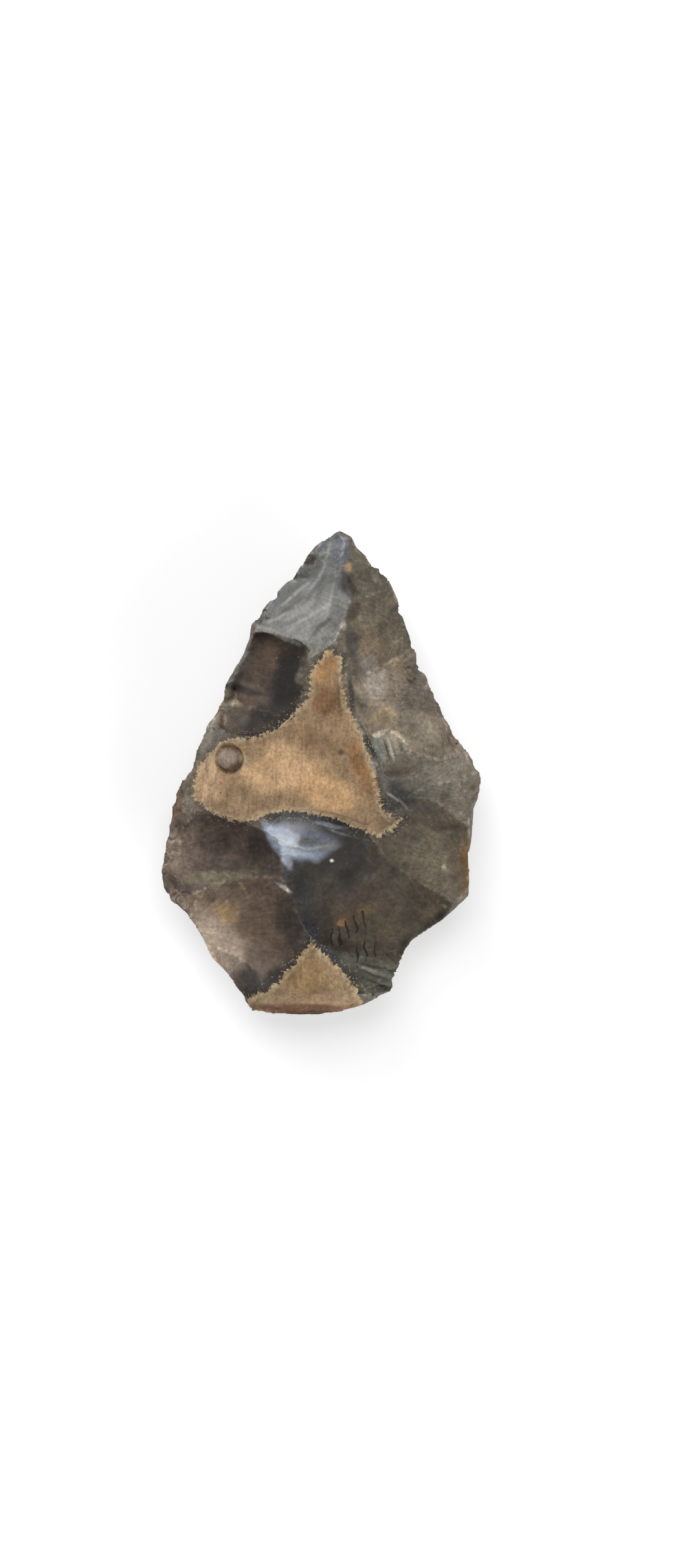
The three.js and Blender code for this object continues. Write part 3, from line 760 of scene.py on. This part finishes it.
def painted(coat, patches, points):
    """Lays soft patches over a coat; each has an outline that wanders a millimetre or two."""
    drift = np.stack([layered(points, 5, 3, turn) for turn in (0.2, 4.4)], axis=1)
    for x, y, half_length, half_width, turn, colour, strength in patches.values():
        wandered = points[:, :2] + drift * min(1.6, half_width * 0.55)
        cover = strength * patch_cover(wandered, x, y, half_length, half_width, turn)
        coat += cover[:, None] * (linear(colour) - coat)
    return coat


def flint_coat(found):
    """Each flake's run of colours, from its strike point to its end."""
    coat = np.tile(linear((100, 92, 81)), (len(found["points"]), 1))
    share = np.clip(found["along"], 0, 1)
    runs = [FLAKE_TONES[name] for name in FRONT]
    for index in range(len(BACK)):
        runs.append([BACK_TONES[index % 5], BACK_TONES[(index * 2 + 1) % 5], BACK_TONES[(index + 3) % 5]])
    for index, run in enumerate(runs):
        here, tones, stops = found["flake"] == index, linear(run), np.linspace(0, 1, len(run))
        coat[here] = np.stack([np.interp(share[here], stops, tones[:, band]) for band in range(3)], axis=1)
    return coat


def store(name, kind, values):
    """Keeps a value for every corner, for the material to read."""
    layer = axe.data.attributes.new(name, kind, "POINT")
    field = {"FLOAT": "value", "FLOAT_VECTOR": "vector", "FLOAT_COLOR": "color"}[kind]
    layer.data.foreach_set(field, np.ascontiguousarray(values, dtype=np.float32).ravel())


found = survey(axe.data)
points, front = found["points"], found["front"]
flint_tone = flint_coat(found)
flint_tone[front] = painted(flint_tone[front], FLINT_PATCHES, points[front])
skin_tone = np.tile(linear(SKIN_TONE), (len(points), 1))
skin_tone[front] = painted(skin_tone[front], SKIN_PATCHES, points[front])
from_knob = np.hypot(points[:, 0] - KNOB_MIDDLE[0], points[:, 1] - KNOB_MIDDLE[1])
knob = ramp(from_knob, KNOB_REACH, 2.4) * front
lower_side = ramp(KNOB_MIDDLE[1] - points[:, 1], -0.8, 1.4) * front
shadow = SHADOW_STRENGTH * lower_side * ramp(np.abs(from_knob - SHADOW_REACH), 0.8, 0.2) * (1 - knob)
skin_tone += knob[:, None] * (linear(KNOB_TONE) - skin_tone)
skin_tone += shadow[:, None] * (linear(SHADOW_TONE) - skin_tone)
store("flint_tone", "FLOAT_COLOR", np.concatenate([flint_tone, np.ones((len(points), 1))], axis=1))
store("skin_tone", "FLOAT_COLOR", np.concatenate([skin_tone, np.ones((len(points), 1))], axis=1))
store("skin", "FLOAT", np.maximum(found["skin"], np.where(knob > 0.1, 3, -20)))
border = [found["border"], found["skin"] * 0.3, found["border"] * 0]
store("border", "FLOAT_VECTOR", np.stack(border, axis=1) * MM)
shine = np.full((len(points), 3), SHINE_REST)
for x, y, half_length, half_width, turn, amount in SHINE.values():
    cover = front * patch_cover(points, x, y, half_length, half_width, turn)
    shine += cover[:, None] * (amount - shine)
store("shine", "FLOAT", shine[:, 0])
store("ridge", "FLOAT", found["ridge"])
polar = [found["reach"], found["angle"] * 22, found["flake"] * 3.3]
store("strike", "FLOAT_VECTOR", np.stack(polar, axis=1) * MM)
print(len(FLINT_PATCHES), "patches on the flint and", len(SKIN_PATCHES), "on the skin")

# %% [markdown]
# ## The material
# One material finishes the whole stone, because flint and skin are one piece and run into each other in a
# fringe of little teeth. The class below holds one value of the material, and sums of such values add the
# nodes that work them out.

# %% Values in a material
class Value:
    """One socket of the material's nodes, which can be added, multiplied and compared like a number."""

    tree = None

    def __init__(self, socket):
        self.socket = socket

    @classmethod
    def node(cls, kind, settings, sockets, output=0):
        """Adds a node: its settings first, then what goes into its sockets."""
        made = cls.tree.nodes.new(kind)
        for name, setting in settings.items():
            setattr(made, name, setting)
        for name, value in sockets.items():
            if isinstance(value, cls):
                cls.tree.links.new(value.socket, made.inputs[name])
            else:
                made.inputs[name].default_value = value
        return cls(made.outputs[output])

    def math(self, operation, first, second):
        return self.node("ShaderNodeMath", {"operation": operation}, {0: first, 1: second})

    def __add__(self, other):
        return self.math("ADD", self, other)

    def __sub__(self, other):
        return self.math("SUBTRACT", self, other)

    def __rsub__(self, other):
        return self.math("SUBTRACT", other, self)

    def __mul__(self, other):
        return self.math("MULTIPLY", self, other)

    __radd__ = __add__
    __rmul__ = __mul__

    def climb(self, low, high, start=0.0, end=1.0):
        """start below low, end above high, and a smooth climb between them."""
        settings = {"interpolation_type": "SMOOTHSTEP"}
        sockets = {"Value": self, "From Min": low, "From Max": high, "To Min": start, "To Max": end}
        return self.node("ShaderNodeMapRange", settings, sockets)


def attribute(name, output):
    return Value.node("ShaderNodeAttribute", {"attribute_name": name}, {}, output)


def mottle(place, size, detail=3.0, rough=0.55):
    """Noise from 0 to 1 that changes over one size, in millimetres."""
    sockets = {"Vector": place, "Scale": 1 / (size * MM), "Detail": detail, "Roughness": rough}
    return Value.node("ShaderNodeTexNoise", {}, sockets, "Fac")


def stretched(place, scale):
    return Value.node("ShaderNodeVectorMath", {"operation": "MULTIPLY"}, {0: place, 1: scale})


def mixed(factor, first, second, blend="MIX"):
    settings = {"data_type": "RGBA", "blend_type": blend}
    return Value.node("ShaderNodeMix", settings, {0: factor, 6: first, 7: second}, 2)


def lit(colour, amount):
    """A colour made brighter or darker."""
    return Value.node("ShaderNodeVectorMath", {"operation": "SCALE"}, {0: colour, "Scale": amount})


flint = bpy.data.materials.new("flint")
flint.use_nodes = True
Value.tree = flint.node_tree
place = Value.node("ShaderNodeTexCoord", {}, {}, "Object")
to_skin = attribute("skin", "Fac")
to_ridge = attribute("ridge", "Fac")
strikes = attribute("strike", "Vector")
border = attribute("border", "Vector")

# %% [markdown]
# The skin ends in a fringe: where it thins out, dark flint shows between little teeth of it, and its last
# millimetre is paler. Noise is added to the distance from the border before it is cut off into a mask. The
# fine noise changes fast along the border and slowly across it, so the teeth stand square to the border.
# Just outside it the flint is darker, with crumbs of skin.

# %% Where the skin lies
teeth = mottle(border, 0.75, 2, 0.6) * 3.4 + mottle(place, 2.4, 2) * 2.4 - 2.9
on_skin = (to_skin + teeth).climb(-0.12, 0.2)
rim = on_skin * to_skin.climb(0.1, 1.9, 1, 0) * mottle(place, 1, 2).climb(0.35, 0.6)
shade = to_skin.climb(-2.2, -0.2) * mottle(border, 0.9, 2).climb(0.35, 0.6, 1, 0.4)
crumbs = to_skin.climb(-3.4, -0.6) * mottle(place, 0.6, 2).climb(0.6, 0.68)

# %% [markdown]
# Flint is cloudy at every size: clouds of some millimetres, a fine pepper and salt, streaks that run away
# from the strike point, and pale bruises along the ridges. Each of them only makes the painted coat a
# little lighter or darker, so the coat keeps its colours.

# %% Flint
polish = attribute("shine", "Fac")
clouds = (mottle(place, 5, 4) - 0.5) * polish.climb(0, 1, 2.2, 0.9) + 1
pepper = (mottle(place, 1, 4, 0.7) - 0.5) * polish.climb(0, 1, 2, 0.7) + 1
streaks = mottle(stretched(strikes, (0.35, 1.6, 1)), 1.6, 3, 0.6).climb(0.3, 0.7, 0.84, 1.18)
rings = mottle(stretched(strikes, (1.5, 0.3, 1)), 1.6, 3, 0.6).climb(0.3, 0.72, 0.9, 1.12)
flint_colour = lit(attribute("flint_tone", "Color"), clouds * pepper * streaks * rings)
salt = mottle(place, 0.55, 1).climb(0.73, 0.8) * mottle(place, 7, 2).climb(0.4, 0.6)
flint_colour = mixed(salt * 0.55, flint_colour, (0.62, 0.58, 0.5, 1))
stains = mottle(place, 3.4, 3).climb(0.58, 0.76) * mottle(place, 1, 2).climb(0.4, 0.6)
flint_colour = mixed(stains * 0.5, flint_colour, (0.1, 0.062, 0.032, 1))
bruise = to_ridge.climb(0.1, 0.75, 1, 0) * mottle(place, 1.6, 3).climb(0.42, 0.62)
flint_colour = mixed(bruise * 0.5, flint_colour, lit(flint_colour, 2.6))
flint_colour = mixed(shade * 0.8, flint_colour, lit(flint_colour, 0.34))
flint_colour = mixed(crumbs * 0.8, flint_colour, (0.44, 0.34, 0.2, 1))

# %% [markdown]
# The skin is a dry crust with a fine grain. It is streaked up and down the axe on the body, and it has pores
# and rusty specks.

# %% Skin
grain = mottle(place, 0.8, 4, 0.7).climb(0.3, 0.7, 0.74, 1.26)
brushed = mottle(stretched(place, (2.4, 0.6, 1)), 1.8, 3, 0.65).climb(0.3, 0.7, 0.84, 1.16)
patchy = mottle(place, 5, 4, 0.6).climb(0.3, 0.7, 0.78, 1.2)
skin_colour = lit(attribute("skin_tone", "Color"), grain * brushed * patchy)
pores = mottle(place, 0.8, 2).climb(0.62, 0.7) * mottle(place, 4.5, 2).climb(0.4, 0.6)
skin_colour = mixed(pores * 0.6, skin_colour, (0.12, 0.06, 0.03, 1))
skin_colour = mixed(rim * 0.7, skin_colour, (0.66, 0.52, 0.33, 1))

# %% [markdown]
# Somebody once wrote on the axe in ink. The words are left off. Two rows of short slanted strokes hold
# their place, and they are only colour. A row has its own coordinates: one runs along it and one across.

# %% Ink strokes
INK_ROWS = [
    # start x and y, heading, length, height of the strokes, spacing, seed
    (0.8, -41.4, 30, 19, 4.8, 2.3, 3.1),
    (7, -45.6, 27, 12, 4.6, 2.4, 8.4),
]


def ink_row(x, y, heading, length, height, spacing, seed):
    """Where the strokes of one row are: uneven, slanted and broken."""
    middle = ((x - MIDDLE[0]) * MM, (y - MIDDLE[1]) * MM, 0)
    settings = {"vector_type": "TEXTURE"}
    sockets = {"Vector": place, "Location": middle, "Rotation": (0, 0, math.radians(heading))}
    row = Value.node("ShaderNodeMapping", settings, sockets)
    along = Value.node("ShaderNodeSeparateXYZ", {}, {"Vector": row}, "X") * (1 / MM)
    across = Value.node("ShaderNodeSeparateXYZ", {}, {"Vector": row}, "Y") * (1 / MM)
    shifted = Value.node("ShaderNodeVectorMath", {"operation": "ADD"}, {0: row, 1: (seed * MM, 0, 0)})
    sway = mottle(shifted, 3.2, 1) * 2.4
    phase = (along - across * 0.45 + sway) * (2 * math.pi / spacing)
    line = Value.node("ShaderNodeMath", {"operation": "SINE"}, {0: phase}).climb(0.62, 0.86)
    tall = mottle(shifted, 2.4, 1).climb(0.3, 0.7, 0.3, 0.62) * height
    reach = Value.node("ShaderNodeMath", {"operation": "ABSOLUTE"}, {0: across})
    inside = (tall - reach).climb(-0.15, 0.15) * along.climb(0, 0.4) * along.climb(length - 0.4, length, 1, 0)
    return line * inside


ink = ink_row(*INK_ROWS[0]) + ink_row(*INK_ROWS[1])
upward = Value.node("ShaderNodeSeparateXYZ", {}, {"Vector": place}, "Z").climb(0.014, 0.016)
ink = (ink * upward).climb(0, 1)

# %% [markdown]
# The flint is glossy where it is fresh and duller where the soil has etched it. The skin is matt. The finest
# grain is left to a bump, because it is finer than the corners of the mesh.

# %% The finish
colour = mixed(on_skin, flint_colour, skin_colour)
colour = mixed(ink * 0.92, colour, (0.008, 0.008, 0.01, 1))
gloss = polish.climb(0, 1, 0.64, 0.26) * mottle(place, 4, 3).climb(0.3, 0.7, 0.85, 1.2)
roughness = gloss + on_skin * (0.86 - gloss)
fine = mottle(place, 0.45, 4, 0.65) * (0.35 + 0.65 * on_skin) + rings * 0.2 + mottle(place, 1.4, 2) * 0.5
sockets = {"Height": fine, "Strength": 0.55, "Distance": 0.16 * MM}
surface = flint.node_tree.nodes["Principled BSDF"]
flint.node_tree.links.new(colour.socket, surface.inputs["Base Color"])
flint.node_tree.links.new(roughness.socket, surface.inputs["Roughness"])
bump = Value.node("ShaderNodeBump", {}, sockets, "Normal")
flint.node_tree.links.new(bump.socket, surface.inputs["Normal"])
surface.inputs["IOR"].default_value = 1.44
axe.data.materials.clear()
axe.data.materials.append(flint)
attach(axe, "root")
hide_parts("hand_axe")
print("material", flint.name, "has", len(flint.node_tree.nodes), "nodes")

# %% [markdown]
# ## Floor, lights and camera
# The axe lies on a white sheet among three large soft lights. Two stand low, one beyond its tip on the left
# and one beyond its butt on the right. The third stands high beyond the tip, so the shadow falls below the
# butt. The sky itself is dim, so the level parts of the flint look dark. The sheet also gives off a little
# light of its own, which keeps it white in the shade.

# %% Floor
bpy.ops.mesh.primitive_plane_add(size=4, location=(0, 0, 0))
floor = bpy.context.object
floor.name = "floor"
paper = bpy.data.materials.new("paper")
paper.use_nodes = True
paper.node_tree.nodes["Principled BSDF"].inputs["Base Color"].default_value = (0.86, 0.86, 0.87, 1)
paper.node_tree.nodes["Principled BSDF"].inputs["Roughness"].default_value = 0.9
paper.node_tree.nodes["Principled BSDF"].inputs["Emission Color"].default_value = (1, 1, 1, 1)
paper.node_tree.nodes["Principled BSDF"].inputs["Emission Strength"].default_value = 0.38
floor.data.materials.append(paper)

# %% Lights
LIGHTS = [
    # name, heading and height of the light in degrees, distance, width, tall, watts, colour
    ("window", -50, 22, 1.1, 0.8, 0.5, 7, (1, 1, 1)),
    ("tip side", 120, 30, 1.1, 0.8, 0.5, 4.4, (1, 1, 1)),
    ("sky", 95, 62, 1.3, 1, 0.8, 6, (1, 1, 1)),
]
for name, heading, height, distance, width, tall, watts, colour in LIGHTS:
    turn, rise = math.radians(heading), math.radians(height)
    place = [distance * math.cos(turn) * math.cos(rise), distance * math.sin(turn) * math.cos(rise),
             distance * math.sin(rise)]
    facing = (math.pi / 2 - rise, 0, turn + math.pi / 2)
    bpy.ops.object.light_add(type="AREA", location=place, rotation=facing)
    light = bpy.context.object
    light.name = name
    light.data.shape = "RECTANGLE"
    light.data.size, light.data.size_y = width, tall
    light.data.energy, light.data.color = watts, colour
world = bpy.data.worlds.new("studio")
world.use_nodes = True
world.node_tree.nodes["Background"].inputs["Color"].default_value = (0.22, 0.22, 0.22, 1)
bpy.context.scene.world = world
bpy.context.scene.view_settings.view_transform = "Standard"
print(len(LIGHTS), "lights")

# %% Camera
FRAME_TALL = 387.7
SENSOR, LENS = 36, 85
bpy.ops.object.camera_add(location=(6.84 * MM, -2.82 * MM, (BACK_DEPTH + FRAME_TALL * LENS / SENSOR) * MM))
camera = bpy.context.object
camera.data.lens = LENS
camera.data.sensor_width = SENSOR
bpy.context.scene.camera = camera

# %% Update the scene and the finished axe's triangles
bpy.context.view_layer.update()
axe.data.calc_loop_triangles()
